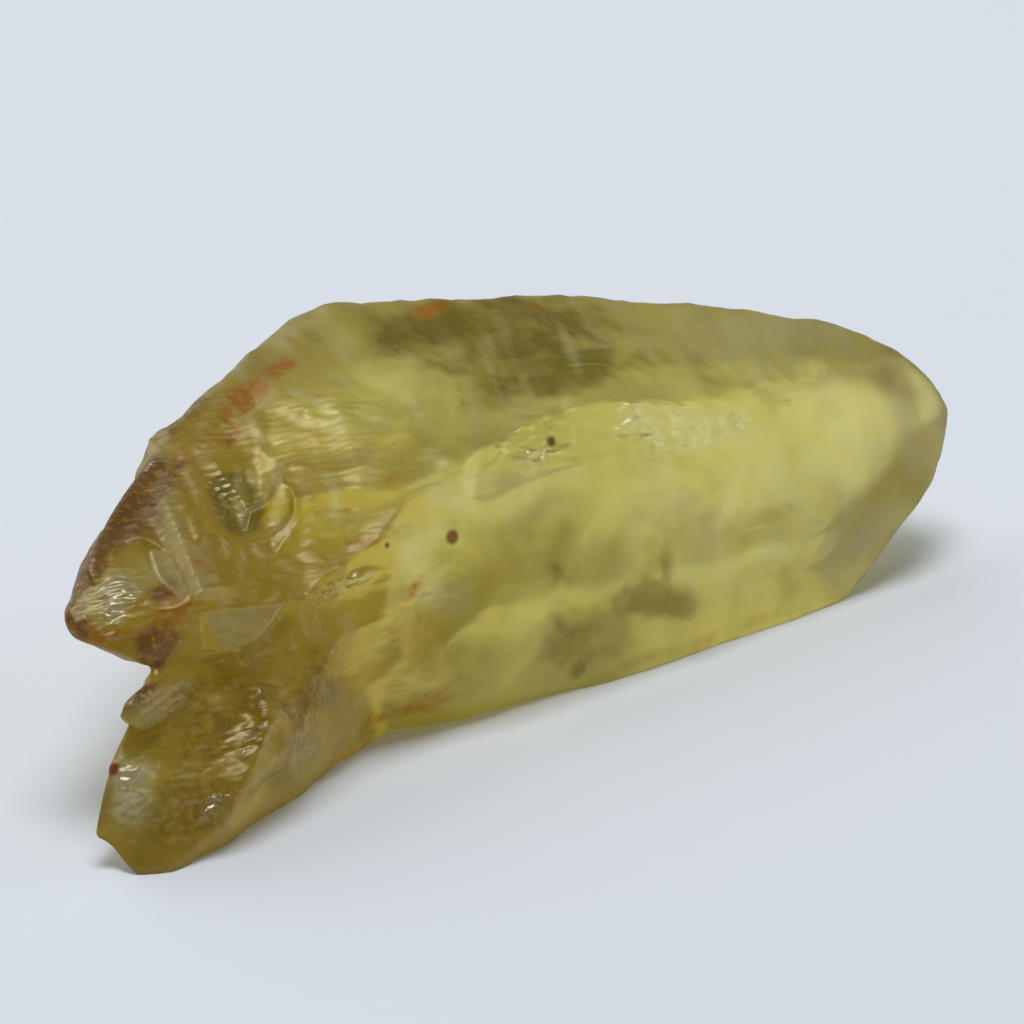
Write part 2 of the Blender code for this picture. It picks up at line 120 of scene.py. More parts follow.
# Scars left by flakes, each a shallow bowl cut into the stone: a place on the surface, the way that it faces,
# its long direction, half length, half width and depth. Nearly flat ones are facets.
SCARS = (
    ((-17.5, -0.6, 14.0), (-0.1, -0.3, 0.95), (0.7, 0.7, 0.2), 2.3, 1.2, 0.4),
    ((-18.3, -1.4, 13.7), (-0.5, -0.25, 0.83), (-0.2, 0.9, 0.3), 2.2, 0.9, 0.5),
    ((-17.7, -1.9, 13.5), (-0.05, -0.66, 0.75), (0.9, 0.2, 0.2), 1.6, 0.9, 0.4),
    ((-26.0, -3.6, 13.1), (-0.1, -0.55, 0.83), (0.2, 0.9, 0.5), 2.6, 1.3, 0.6),
    ((-20.6, -3.9, 13.0), (0.1, -0.62, 0.78), (0.9, 0.2, 0.1), 3.4, 1.5, 0.4),
    ((-21.0, -6.4, 11.9), (0.12, -0.86, 0.5), (1.0, 0.0, 0.2), 3.4, 1.8, 0.3),
    ((-28.0, -5.0, 12.6), (-0.28, -0.46, 0.84), (0.8, 0.5, 0.3), 3.0, 2.0, 0.2),
    ((-26.0, -7.2, 11.4), (-0.35, -0.72, 0.6), (0.9, -0.2, 0.2), 2.6, 1.4, 0.25),
    ((-30.4, -6.4, 10.7), (-0.55, -0.7, 0.45), (0.7, -0.5, 0.0), 2.2, 1.1, 0.2),
    ((-24.4, -9.4, 7.5), (-0.32, -0.78, 0.54), (0.9, 0.1, 0.4), 5.2, 3.6, 0.95),
    ((-19.2, -8.3, 8.6), (-0.05, -0.85, 0.52), (0.8, 0.2, 0.4), 3.4, 2.2, 0.5),
    ((-28.4, -12.0, 3.0), (-0.12, -0.96, 0.24), (0.9, 0.1, 0.3), 3.0, 2.3, 0.5),
    ((-31.2, -10.6, 3.6), (-0.62, -0.74, 0.28), (0.2, 0.2, 0.9), 2.8, 1.5, 0.3),
    ((-21.9, -11.4, 4.9), (0.25, -0.9, 0.36), (0.8, 0.3, 0.4), 5.4, 1.7, 0.45),
    ((-21.4, -10.7, 1.2), (0.3, -0.94, -0.1), (0.8, 0.3, 0.1), 3.8, 1.8, 0.75),
    ((-16.2, -8.4, 4.5), (0.22, -0.96, 0.16), (0.6, 0.2, 0.7), 3.6, 2.2, 0.5),
    ((-14.6, -6.9, 9.6), (0.05, -0.9, 0.43), (0.9, 0.0, 0.3), 3.4, 1.8, 0.35),
    ((-9.4, -6.6, 8.8), (0.02, -0.96, 0.28), (0.5, 0.0, 0.9), 4.2, 2.6, 0.35),
    ((-14.6, -4.4, 12.9), (-0.12, -0.66, 0.74), (0.9, 0.0, 0.2), 4.2, 2.2, 0.3),
    ((-12.6, 1.2, 15.6), (-0.12, -0.3, 0.95), (0.9, -0.4, 0.0), 5.2, 2.6, 0.3),
    ((-7.0, 5.6, 16.9), (-0.05, -0.16, 0.98), (0.6, -0.8, 0.0), 5.0, 2.6, 0.35),
    ((0.6, -3.8, 12.6), (0.0, -0.72, 0.69), (0.9, 0.1, -0.1), 3.8, 1.9, 0.15),
    ((-22.4, 3.4, 14.2), (-0.62, 0.3, 0.72), (0.8, 0.6, 0.2), 3.6, 1.6, 0.3),
    ((-11.5, 12.4, 8.0), (-0.25, 0.96, 0.05), (0.6, 0.3, 0.7), 8.5, 4.8, 1.3),
    ((4.0, 11.4, 6.5), (0.05, 0.99, -0.12), (0.9, 0.0, 0.4), 9.0, 4.6, 1.1),
    ((18.0, 7.8, 8.0), (0.35, 0.93, 0.1), (0.6, -0.2, -0.8), 5.5, 3.6, 0.9),
    ((-22.5, 3.8, 10.0), (-0.8, 0.55, 0.2), (0.4, 0.6, 0.6), 5.0, 3.4, 1.0),
)

# How far from its middle a bowl still cuts, as a squared share of its half sizes, and the least slope that a
# ray is taken to have towards it.
SCAR_REACH = 2.2
LEAST_SLOPE = 0.4

# Ledges: place at the shallow start, facing, the run down to the wall, half width, depth at the wall. The
# wall's width and how steeply the sides come up follow.
LEDGES = (
    ((-17.5, 6.0, 15.9), (-0.2, 0.2, 0.96), (2.0, -3.2, 0.2), 4.0, 0.5),
    ((-5.0, 6.0, 16.9), (0.1, -0.2, 0.97), (-3.4, -0.6, 0.1), 5.5, 0.5),
    ((-3.0, 11.6, 10.0), (0.0, 0.98, 0.2), (5.0, 0.0, 2.5), 4.5, 0.8),
)
WALL = 0.35
LEDGE_SIDE = 2.5

# The solid's relief: size of its cells, height, and the number that seeds its pattern.
WARP = (6.0, 1.1, 31)
FINE_WARP = (2.2, 0.55, 131)
SWELLS = ((13.0, 0.45, 3), (4.5, 0.26, 11))
CHIPS = ((8.0, 1.15, 5),)

# The noises: length of their tables, what brings gradient noise to about -1 to 1, a chip's rise, tilt, lift
# and mean height, and a plate's tilt.
PICKS = 256
SWELL_GAIN = 1.6
DISH_RISE = 0.55
DISH_TILT = 0.28
DISH_LIFT = 0.45
CHIP_MEAN = 0.35
PLATE_TILT = 0.7

# Growth lines lie across the long axis on the prism faces, those that look up or back, where chips are lower.
GROWTH_AXIS = np.array([0.955, -0.234, -0.18])
GROWTH_LINES = ((2.4, 0.22, 41),)
GROWTH_STRETCH = 7.0
PRISM_FROM = 0.8
PRISM_SPAN = 0.12
PRISM_CALM = 0.55

# The finer relief that only the looks have. From one X to another it grows to full at the broken end, as the
# umber colour does, and the right half's edges are worn.
FINE_SWELLS = ((2.4, 0.17, 61), (1.1, 0.06, 67))
FINE_CHIPS = ((4.2, 0.34, 71), (1.9, 0.14, 73), (0.9, 0.06, 79))
FINE_LINES = ((1.4, 0.13, 43), (0.5, 0.04, 47))
BROKEN = (-4.0, -16.0)
WORN = (4.0, 20.0)
CALM_SHARE = 0.42
SHARD_CALM = 0.75
SMOOTHINGS = 2
WORN_SMOOTHINGS = 10

# The grid is finer at the broken left end, and on the side that looks forward and up.
ROW_CROWDING = 1.3
COLUMN_CROWDING = 0.3
CROWDED_SIDE = np.radians(135.0)

# Two facings that many places share, and flaky places, where the surface breaks into small steps: place,
# facing, long direction, half sizes, strength.
TOP = (0.0, -0.2, 0.9)
FRONT = (0.0, -1.0, 0.1)
FLAKY = (
    ((0.4, -3.2, 13.0), (0.0, -0.7, 0.7), (0.9, 0.1, -0.3), (6.0, 2.6, 2.2), 0.5),
    ((-27.9, -5.1, 12.4), (-0.2, -0.5, 0.8), (0.8, 0.5, 0.3), (2.9, 1.9, 1.5), 1.0),
    ((-15.6, -6.9, 10.4), (0.0, -0.9, 0.4), (1.0, 0.0, 0.1), (3.6, 0.8, 1.2), 1.0),
    ((-18.4, -0.4, 13.9), (-0.2, -0.5, 0.8), (-0.3, 0.9, 0.3), (2.6, 1.7, 1.5), 0.3),
    ((-26.2, -11.2, 5.2), (-0.1, -0.9, 0.4), (0.7, 0.1, 0.7), (1.6, 1.0, 1.2), 1.0),
    ((-26.6, -12.4, 2.6), (0.0, -1.0, 0.2), (0.9, 0.2, 0.4), (2.0, 0.9, 1.2), 1.0),
    ((-30.8, -10.6, 3.6), (-0.4, -0.9, 0.3), (0.2, 0.2, 0.9), (3.2, 1.7, 1.6), 0.9),
    ((-22.0, -9.6, 6.8), (-0.1, -0.8, 0.5), (0.8, 0.2, 0.6), (2.0, 0.7, 1.2), 0.8),
    ((-9.8, 3.2, 16.2), TOP, (0.9, -0.5, -0.1), (6.0, 2.4, 1.6), 0.25),
    ((-19.6, 4.0, 15.6), (-0.2, 0.0, 0.9), (0.8, 0.6, 0.1), (6.0, 1.5, 1.5), 0.5),
    ((6.5, 1.4, 15.2), TOP, (1.0, 0.0, -0.1), (7.0, 2.0, 1.5), 0.25),
    ((8.5, -3.6, 12.2), (0.0, -0.8, 0.6), (1.0, 0.0, -0.15), (8.5, 3.6, 2.4), 0.42),
    ((18.0, -2.0, 11.8), (0.0, -0.6, 0.8), (1.0, 0.1, -0.2), (8.0, 2.2, 1.8), 0.35),
    ((13.0, -5.4, 6.5), FRONT, (1.0, 0.0, 0.0), (12.0, 5.0, 3.0), 0.15),
    ((-23.4, -10.4, 5.6), (-0.1, -0.9, 0.5), (0.9, 0.2, 0.3), (7.0, 3.0, 2.0), 0.3),
)
FLAKE_STEPS = ((1.3, 0.11, 83), (0.6, 0.05, 89))

# Stains in and just under the skin, and painted light and shade, each an oval: place, facing, long direction,
# half sizes along, across and deep, and strength. First the frosted and cloudy places, which scatter light,
# with painted light on the bright right front, the right end and top, the lit rib and spur, and the snout's
# highlight.
FROST_AND_LIGHT = (
    # Cloudiness, and painted light on the bright right front
    ((12.0, -5.0, 7.0), (0.0, -1.0, 0.2), (1.0, 0.0, -0.1), (17.0, 6.5, 6.0), 0.8),
    ((-3.5, -4.8, 12.0), (0.0, -0.8, 0.6), (0.9, 0.0, -0.3), (9.0, 3.2, 3.0), 1.1),
    ((-9.0, -6.2, 9.5), (0.0, -0.9, 0.4), (0.5, 0.0, -0.9), (5.5, 2.6, 3.0), 1.0),
    # Painted light: the pale patch low on the right front, and the right end
    ((20.0, -5.7, 2.8), (0.0, -1.0, 0.2), (0.9, 0.0, 0.3), (5.0, 2.3, 2.0), 1.5),
    ((24.2, -4.2, 5.4), (0.4, -0.8, 0.4), (0.3, 0.2, 0.9), (3.4, 2.2, 2.0), 1.1),
    ((25.0, -2.8, 8.6), (0.2, -0.8, 0.5), (0.3, 0.3, 0.9), (1.6, 1.1, 1.5), 0.8),
    # Painted highlight on the snout, then painted light on the lit rib and the spur's facet
    ((-27.9, -4.8, 12.4), (-0.2, -0.5, 0.8), (0.8, 0.5, 0.3), (2.8, 1.8, 1.5), 1.3),
    ((-23.2, -4.6, 12.6), (0.0, -0.5, 0.8), (-0.5, 0.7, 0.5), (3.0, 0.6, 1.0), 0.9),
    ((-22.8, -7.8, 10.8), (0.0, -0.8, 0.6), (0.9, -0.2, -0.3), (2.4, 0.9, 1.0), 0.7),
    ((-20.0, -5.0, 12.9), (0.0, -0.7, 0.7), (0.9, 0.1, 0.2), (2.2, 0.7, 1.0), 0.8),
    ((-29.8, -9.1, 8.3), (-0.3, -0.8, 0.5), (0.0, 0.3, 0.9), (1.0, 0.8, 0.8), 1.0),
    ((-31.0, -10.8, 3.9), (-0.3, -0.9, 0.4), (0.2, 0.2, 0.9), (3.2, 2.0, 1.5), 1.2),
    ((-9.5, 1.5, 16.0), TOP, (0.5, -0.9, -0.2), (4.5, 1.3, 1.5), 0.45),
    ((-10.6, 3.2, 16.4), TOP, (0.53, -0.83, -0.22), (3.8, 0.45, 1.4), 1.2),
    ((-8.8, 1.3, 15.8), TOP, (0.6, -0.8, -0.2), (3.0, 0.35, 1.4), 1.1),
    ((-11.6, 2.0, 16.0), TOP, (0.4, -0.9, -0.2), (2.6, 0.32, 1.4), 1.0),
    # Painted light on the brighter right of the top
    ((18.0, 3.2, 13.5), (0.2, -0.2, 0.9), (0.9, 0.0, -0.3), (9.0, 4.5, 2.5), 1.3),
    ((9.0, -3.4, 12.0), (0.0, -0.8, 0.6), (1.0, 0.0, -0.2), (6.0, 2.2, 2.0), 1.0),
    ((-18.0, 3.2, 15.6), TOP, (0.75, 0.6, 0.1), (5.0, 0.5, 1.2), 0.8),
    ((-22.6, -0.6, 14.3), TOP, (0.75, 0.6, 0.3), (2.6, 0.45, 1.2), 0.8),
)
# Painted shade, where less light comes through: the lower front's blotch, the pit, the recess and the top
# facet
PAINTED_SHADE = (
    # Painted shade on the lower front
    ((4.7, -6.6, 4.4), FRONT, (1.0, 0.0, -0.28), (4.4, 1.8, 2.2), 1.4),
    ((5.9, -6.5, 5.2), FRONT, (0.0, 0.0, 1.0), (3.2, 0.8, 1.2), 1.1),
    ((-0.2, -6.8, 1.7), FRONT, (0.0, 0.0, 1.0), (1.2, 0.9, 1.0), 1.3),
    ((-1.6, -6.6, 6.0), FRONT, (0.3, 0.0, 1.0), (4.6, 2.0, 2.5), 0.6),
    # Painted shade in the pit right of the rib and in the recess left of it
    ((-18.1, -1.2, 13.6), (-0.2, -0.5, 0.8), (-0.3, 0.9, 0.3), (2.6, 1.9, 2.0), 1.4),
    ((-25.6, -3.4, 13.2), (0.0, -0.5, 0.9), (0.7, 0.5, 0.3), (1.5, 0.8, 1.2), 0.7),
    # Painted shade over the top facet
    ((3.0, 5.0, 16.4), (0.0, -0.2, 1.0), (1.0, 0.0, -0.1), (11.0, 6.5, 3.0), 1.05),
    ((0.0, 6.5, 16.9), (0.0, -0.2, 1.0), (1.0, 0.0, -0.1), (8.0, 4.0, 3.0), 1.05),
    ((3.6, 1.0, 15.3), TOP, (1.0, 0.0, -0.12), (9.0, 3.0, 2.5), 1.05),
    ((11.0, 1.0, 14.6), TOP, (1.0, 0.0, -0.15), (8.5, 2.0, 2.5), 0.55),
)
# Golden brown glass of the leg
HONEY = (
    ((-24.0, -9.6, 7.0), (-0.2, -0.8, 0.5), (0.9, 0.1, 0.2), (6.5, 4.2, 3.0), 1.0),
    ((-19.0, -9.6, 5.0), (0.2, -0.9, 0.3), (0.8, 0.1, 0.6), (7.0, 3.2, 3.0), 0.8),
    ((-28.0, -11.8, 2.6), (-0.2, -0.9, 0.3), (0.9, 0.0, 0.2), (4.5, 3.0, 2.5), 0.9),
    ((-11.5, -7.0, 2.0), (0.0, -1.0, -0.2), (1.0, 0.1, 0.2), (5.5, 1.8, 2.5), 0.8),
    ((-25.4, -3.8, 13.0), (0.0, -0.5, 0.9), (0.2, 0.9, 0.5), (2.2, 1.0, 1.2), 0.8),
    ((-25.6, -5.7, 12.2), (0.0, -0.5, 0.9), (0.7, 0.5, 0.3), (2.3, 1.4, 1.4), 1.3),
    ((-21.2, -6.6, 11.7), (0.1, -0.9, 0.5), (1.0, 0.0, 0.2), (2.8, 1.3, 1.5), 0.6),
    ((0.5, -6.8, 3.6), FRONT, (1.0, 0.0, 0.1), (6.0, 3.4, 2.5), 0.75),
    ((7.0, -6.7, 0.6), (0.0, -1.0, 0.0), (1.0, 0.0, 0.05), (12.0, 1.3, 2.5), 0.45),
)
# Orange and brown iron stain
RUST = (
    ((-12.6, 6.0, 16.6), (-0.2, 0.0, 1.0), (0.8, 0.55, 0.1), (6.2, 0.8, 1.4), 0.95),
    ((-13.3, 4.9, 16.4), TOP, (0.75, 0.6, 0.1), (3.0, 0.6, 1.2), 1.25),
    ((-16.3, 2.7, 15.8), TOP, (0.9, 0.5, 0.1), (1.6, 0.8, 1.0), 1.0),
    ((-20.0, 2.2, 15.2), (-0.2, 0.0, 1.0), (0.8, 0.6, 0.1), (6.0, 1.1, 1.4), 0.55),
    ((-28.9, -6.3, 11.0), (-0.3, -0.7, 0.6), (0.9, -0.4, -0.2), (3.0, 0.8, 1.2), 1.0),
    ((-13.4, -5.8, 12.2), (0.0, -0.9, 0.4), (0.8, 0.0, -0.5), (1.5, 0.7, 0.9), 1.0),
    ((-10.6, -3.1, 14.1), (0.0, -0.5, 0.9), (0.7, 0.3, 0.4), (0.9, 0.5, 0.8), 0.8),
    ((-10.3, -6.5, 9.2), (0.0, -0.9, 0.4), (0.9, 0.0, 0.5), (1.3, 0.5, 0.9), 0.85),
    ((0.1, 8.6, 17.2), TOP, (1.0, 0.0, 0.0), (2.6, 0.9, 0.9), 0.7),
    ((5.6, 6.6, 16.4), TOP, (1.0, 0.0, 0.0), (1.8, 0.7, 0.9), 0.6),
    ((-26.2, -7.0, 11.4), (-0.2, -0.6, 0.8), (0.9, 0.2, 0.2), (2.2, 1.2, 1.2), 0.75),
    ((-22.6, -4.9, 12.8), (0.0, -0.6, 0.8), (0.9, -0.2, 0.0), (1.5, 0.7, 0.9), 0.8),
    ((-21.0, -6.0, 12.0), (0.0, -0.9, 0.4), (1.0, -0.1, 0.0), (2.0, 0.7, 0.9), 0.5),
    ((-28.6, -2.8, 13.2), (-0.3, -0.2, 0.9), (0.7, 0.5, 0.3), (3.6, 1.3, 1.6), 0.6),
    ((-11.6, -7.0, 2.0), (0.0, -1.0, -0.2), (1.0, 0.1, 0.2), (5.0, 1.2, 2.0), 0.45),
    ((-28.3, -10.4, 8.4), (-0.2, -0.9, 0.5), (0.8, -0.2, 0.5), (2.2, 1.1, 1.2), 0.55),
)
# Red-brown clay in the rind along the upper left edge
CLAY = (
    ((-23.6, 0.8, 14.4), (-0.3, 0.0, 0.9), (0.75, 0.65, 0.2), (6.4, 3.2, 3.4), 1.2),
    ((-28.6, -2.6, 13.1), (-0.4, -0.2, 0.9), (0.7, 0.6, 0.3), (5.0, 1.4, 2.2), 1.05),
    ((-17.4, 4.8, 15.6), (-0.3, 0.2, 0.9), (0.85, 0.5, 0.1), (4.6, 1.4, 2.4), 0.5),
    ((-16.6, 2.5, 15.8), TOP, (0.9, 0.4, 0.1), (0.9, 0.4, 0.9), 0.8),
    ((-31.0, -4.9, 11.4), (-0.8, -0.4, 0.4), (0.3, 0.2, 0.9), (1.6, 1.6, 1.6), 0.8),
    ((-26.6, -7.8, 10.5), (-0.3, -0.8, 0.5), (0.9, -0.4, -0.3), (2.6, 1.5, 1.5), 1.15),
    ((-29.6, -9.0, 9.0), (-0.3, -0.6, 0.7), (0.8, 0.2, 0.4), (2.0, 1.0, 1.2), 1.2),
    ((-28.4, -9.9, 7.9), (-0.2, -0.9, 0.5), (0.8, -0.2, 0.4), (1.8, 0.9, 1.0), 0.6),
    ((-22.2, -4.8, 12.9), (0.0, -0.6, 0.8), (0.9, -0.2, 0.0), (1.2, 0.5, 0.9), 0.5),
    ((-25.9, -5.6, 12.3), (0.0, -0.5, 0.9), (0.7, 0.5, 0.3), (1.5, 0.9, 1.2), 0.75),
    ((-30.9, -9.5, 6.4), (-0.7, -0.6, 0.3), (0.1, 0.3, 0.9), (1.3, 0.7, 1.0), 0.7),
)
OVAL_MASKS = {"frost_and_light": FROST_AND_LIGHT, "olive_and_shade": PAINTED_SHADE, "honey": HONEY, "rust": RUST, "clay": CLAY, "flaky": FLAKY}

# An oval's full core, the share up to which its tears fade in, and the torn share where its mask is full. The
# mesh keeps three masks to a vector attribute.
OVAL_CORE = 0.25
TORN_FROM = 0.4
TORN_TO = 1.1
ATTRIBUTES = {"tint_shade_light": ("honey", "olive_and_shade", "frost_and_light"), "earthy": ("rust", "clay", "flaky")}

# Layers of noise, each with its size, height and seed: tears in the stains, clouds and veils. Then the ranges
# over which clouds turn olive, clouds eat frost and painted light, and veils show, and the strength of cloud
# and veil.
TEARS = ((2.2, 0.4, 151), (0.8, 0.3, 157))
CLOUDS = ((3.4, 0.8, 163), (1.5, 0.4, 167))
VEILS = ((1.6, 0.55, 173), (0.6, 0.55, 179))
CLOUD_RANGE = (0.0, 0.7)
FROST_RANGE = (0.8, -0.4)
VEIL_RANGE = (0.05, 0.6)
CLOUD_SHARE = 0.42
VEIL_SHARE = 0.8

# How the tints are laid on, in this order: how far the grain tears each, and its strength. The right half's
# tears are this share of what is added towards the broken end.
LAYERS = {
    "honey": (2.5, 0.8), "olive_and_shade": (2.0, 1.0), "frost_and_light": (1.5, 0.9), "rust": (4.0, 1.1), "clay": (3.0, 1.2),
}
CALM_TEAR = 0.2

# The grain's noise and its mean, the noise of fine streaks over the skin, the facing and the run that they lie
# along, and their length beside their width. Pale dashes, partly whitish scratches and partly painted glints,
# lie where their noise is high.
GRAIN = {"Scale": 2.4 / MM, "Detail": 1.0, "Roughness": 0.65}
GRAIN_MEAN = 0.5
STREAKS = {"Scale": 2.8, "Detail": 0.0}
STREAK_TURN = ((-0.1, -0.5, 0.85), (0.95, -0.2, 0.0))
STREAK_STRETCH = 3.0
DASH_RANGE = (0.66, 0.8)
DASH_SHARE = 0.3
DASH_TINT = (1.0, 0.98, 0.85)

# Small dark or red spots: place, radius, colour.
SPECKS = (
    ((-7.7, -5.6, 10.7), 0.55, (0.1, 0.025, 0.006)),
    ((-12.1, -5.9, 11.5), 0.28, (0.08, 0.015, 0.008)),
    ((-31.4, -9.4, 5.1), 0.5, (0.6, 0.04, 0.03)),
    ((0.6, -3.0, 13.3), 0.4, (0.05, 0.04, 0.015)),
)

# Roughness that the grain adds and roughness without it, the crackle's share at the broken end beside flaky
# places, its depth, the coat on flaky places and the tint of what the crystal mirrors.
GRAIN_ROUGHNESS = 0.2
LEAST_ROUGHNESS = 0.26
CRACKLE_SHARE = 0.15
CRACKLE_DEPTH = 0.4 * MM
COAT_ROUGHNESS = 0.22
COAT_REFRACTION = 1.9
MIRROR_TINT = (1.0, 0.94, 0.6, 1.0)

# The floor, in metres: how far it reaches each way, its level a hair under the stone, and its matt surface.
FLOOR_REACH = 2.0
FLOOR_LEVEL = -0.00005
FLOOR_NOISE = {"Scale": 30.0, "Detail": 1.0}
FLOOR_TONE = 0.985
FLOOR_ROUGHNESS = 0.7
FLOOR_SHINE = 0.2

# The wall's tint, and the heights of the view's direction between which the wall gives way to the ceiling.
WALL_TINT = (0.88, 0.94, 1.0)
WALL_TOP = (0.15, 0.45)

# The lamps: name, place and side in metres, power in watts.
LAMPS = (
    ("overhead", (0.0, -0.02, 0.9), 0.45, 4.4),
    ("back", (-0.2, 0.83, 0.58), 1.1, 4.3),
    ("right", (0.95, -0.25, 0.32), 0.6, 1.3),
)

# The camera: its sensor's width in millimetres, the nearest distance and the height of its aim in metres, and
# the photo's width and scale.
SENSOR_WIDTH = 36.0
CLIP_START = 0.01
AIM_HEIGHT = 0.008
PHOTO_WIDTH = 1024
PIXELS_PER_MM = 18.2


def shade(name, description, default):
    """A colour setting."""
    return bpy.props.FloatVectorProperty(
        name=name, description=description, default=default, subtype="COLOR", min=0.0, max=1.0
    )


def number(name, description, default, kind=bpy.props.FloatProperty, **limits):
    """A setting that is a number."""
    return kind(name=name, description=description, default=default, **limits)


class TopazShape(bpy.types.PropertyGroup):
    """The grid that the stone's surface is worked out on."""

    rings: number("Rings", "Rings of points from end to end", 300, bpy.props.IntProperty, min=40)
    columns: number("Columns", "Points in each ring", 320, bpy.props.IntProperty, min=40)
    relief: number(
        "Fine relief", "Height of the fine chips and ripples, as a share of full", 1.0, min=0.0, max=2.0,
        subtype="FACTOR"
    )


class TopazLook(bpy.types.PropertyGroup):
    """The crystal's colours and clearness."""

    pale: shade("Pale lemon", "The clearest part", (0.96, 0.89, 0.32))
    umber: shade("Umber", "The broken end", (0.72, 0.53, 0.07))
    # Olive: painted shade on the top facet, the lower front, the pit and the recess, and the clouds' mottling
    olive_and_shade: shade("Olive", "The deep places", (0.25, 0.21, 0.02))
    honey: shade("Honey", "The smooth hollow of the leg", (0.36, 0.22, 0.015))
    # Frost: cloudiness, and painted light on the lit rib and spur, the snout's highlight, the right front and
    # top
    frost_and_light: shade("Frost", "Cloudy and finely broken places", (0.97, 0.95, 0.68))
    rust: shade("Rust", "Orange stain in the cracks", (0.74, 0.25, 0.012))
    clay: shade("Clay", "Red-brown rind", (0.26, 0.085, 0.05))
    clearness: number(
        "Clearness", "Share of the light that passes through", 0.85, min=0.0, max=1.0, subtype="FACTOR"
    )
    refraction: number("Refraction", "Refractive index of topaz", 1.61, min=1.0, max=2.0)
    density: number("Absorption", "How strongly the inside tints the light, per metre", 60.0, min=0.0)
    depth_tint: shade("Depth tint", "Colour that the light takes on inside", (0.93, 0.84, 0.08))


class TopazStage(bpy.types.PropertyGroup):
    """Floor, light and camera."""

    floor: shade("Floor", "Colour of the floor", (0.84, 0.89, 0.96))
    wall: number("Wall light", "Brightness of the pale wall round the stage", 0.34, min=0.0)
    ceiling: number("Ceiling light", "Brightness above the wall", 0.12, min=0.0)
    azimuth: number(
        "Azimuth", "Side from which the camera looks", np.radians(-34.0), subtype="ANGLE", unit="ROTATION"
    )
    elevation: number(
        "Elevation", "Height from which the camera looks", np.radians(25.0), subtype="ANGLE", unit="ROTATION"
    )
    distance: number("Distance", "From the camera to the stone", 0.4, subtype="DISTANCE", unit="LENGTH")
    view_width: number(
        "View width", "Width that the picture shows at the stone", PHOTO_WIDTH / PIXELS_PER_MM * MM,
        subtype="DISTANCE", unit="LENGTH"
    )


def hull_faces(corners):
    """Outward normals and distances of the planes round the convex hull of the corners."""
    hull = bmesh.new()
    for corner in corners:
        hull.verts.new(corner)
    bmesh.ops.convex_hull(hull, input=hull.verts)
    hull.normal_update()
    normals = np.array([face.normal[:] for face in hull.faces])
    places = np.array([face.verts[0].co[:] for face in hull.faces])
    hull.free()
    distances = (normals * places).sum(1)
    inward = normals @ np.mean(corners, axis=0) > distances
    normals[inward] *= -1.0
    distances[inward] *= -1.0
    faces = np.unique(np.round(np.column_stack((normals, distances)), 3), axis=0)
    return faces[:, :3], faces[:, 3]


def leaving_length(starts, ways, corners, power=CORNER_POWER):
    """How far each ray runs before it leaves a hull, where it enters it, and how the face there looks.

    The length is one over the power mean of (speed towards a face) / (distance from it) over all faces,
    which rounds the corners. The facing is the mean of the face normals, weighted by a lower power of the
    same rates. A ray that starts outside a face enters the hull only where it has crossed that face.
    """
    normals, distances = hull_faces(corners)
    gaps = distances - starts @ normals.T
    speeds = ways @ normals.T
    rates = np.maximum(speeds, 0.0) / np.maximum(gaps, LEAST_GAP)
    largest = rates.max(1)
    rates /= largest[:, None]
    spread = (rates**power).sum(1) ** (1.0 / power)
    facing = rates**FACING_POWER @ normals
    facing /= np.linalg.norm(facing, axis=1)[:, None]
    enters = np.where(speeds < 0.0, gaps / np.minimum(speeds, -TINY), 0.0).max(1)
    return CORNER_SWELL / (largest * spread), enters, facing


def smooth_step(values, start, end):
    """0 at the start, 1 at the end and a smooth step between."""
    step = np.clip((values - start) / (end - start), 0.0, 1.0)
    return step * step * (3.0 - 2.0 * step)


def picked(shuffled, cells):
    """A number for each cell: the shuffled table looked up by its three coordinates in turn."""
    x, y, z = (cells % PICKS).T
    return shuffled[(shuffled[(shuffled[x] + y) % PICKS] + z) % PICKS]


def swell_noise(points, seed):
    """Gradient noise between about -1 and 1: smooth, with one bump or hollow in each unit cell.

    Each corner of the cell has a slope, and smooth steps blend the eight heights.
    """
    shuffled = np.random.default_rng(seed).permutation(PICKS)
    slopes = np.random.default_rng(seed + 1).normal(size=(PICKS, 3))
    slopes /= np.linalg.norm(slopes, axis=1)[:, None]
    cell = np.floor(points).astype(int)
    inside = points - cell
    fade = inside**3 * (inside * (inside * 6.0 - 15.0) + 10.0)
    total = np.zeros(len(points))
    for corner in np.ndindex(2, 2, 2):
        slope = slopes[picked(shuffled, cell + corner)]
        weight = np.where(corner, fade, 1.0 - fade).prod(1)
        total += weight * ((inside - corner) * slope).sum(1)
    return total * SWELL_GAIN


def scattered_seeds(points, seed):
    """For each of the 27 cells round the points: how far the points are from its seed, and its number."""
    shuffled = np.random.default_rng(seed).permutation(PICKS)
    places = np.random.default_rng(seed + 1).random((PICKS, 3))
    cell = np.floor(points).astype(int)
    for step in np.ndindex(3, 3, 3):
        other = cell + np.array(step) - 1
        pick = picked(shuffled, other)
        yield points - other - places[pick], pick


def chip_noise(points, seed):
    """Lower envelope of tilted dishes round scattered seeds, one to a unit cell: chips with sharp ridges.

    A dish rises with the squared distance from its seed, and has a slope and a lift of its own.
    """
    tilts = np.random.default_rng(seed + 2).normal(size=(PICKS, 3)) * DISH_TILT
    lifts = np.random.default_rng(seed + 3).random(PICKS) * DISH_LIFT
    lowest = np.full(len(points), np.inf)
    for apart, pick in scattered_seeds(points, seed):
        dish = DISH_RISE * (apart**2).sum(1) + (apart * tilts[pick]).sum(1) + lifts[pick]
        lowest = np.minimum(lowest, dish)
    return lowest


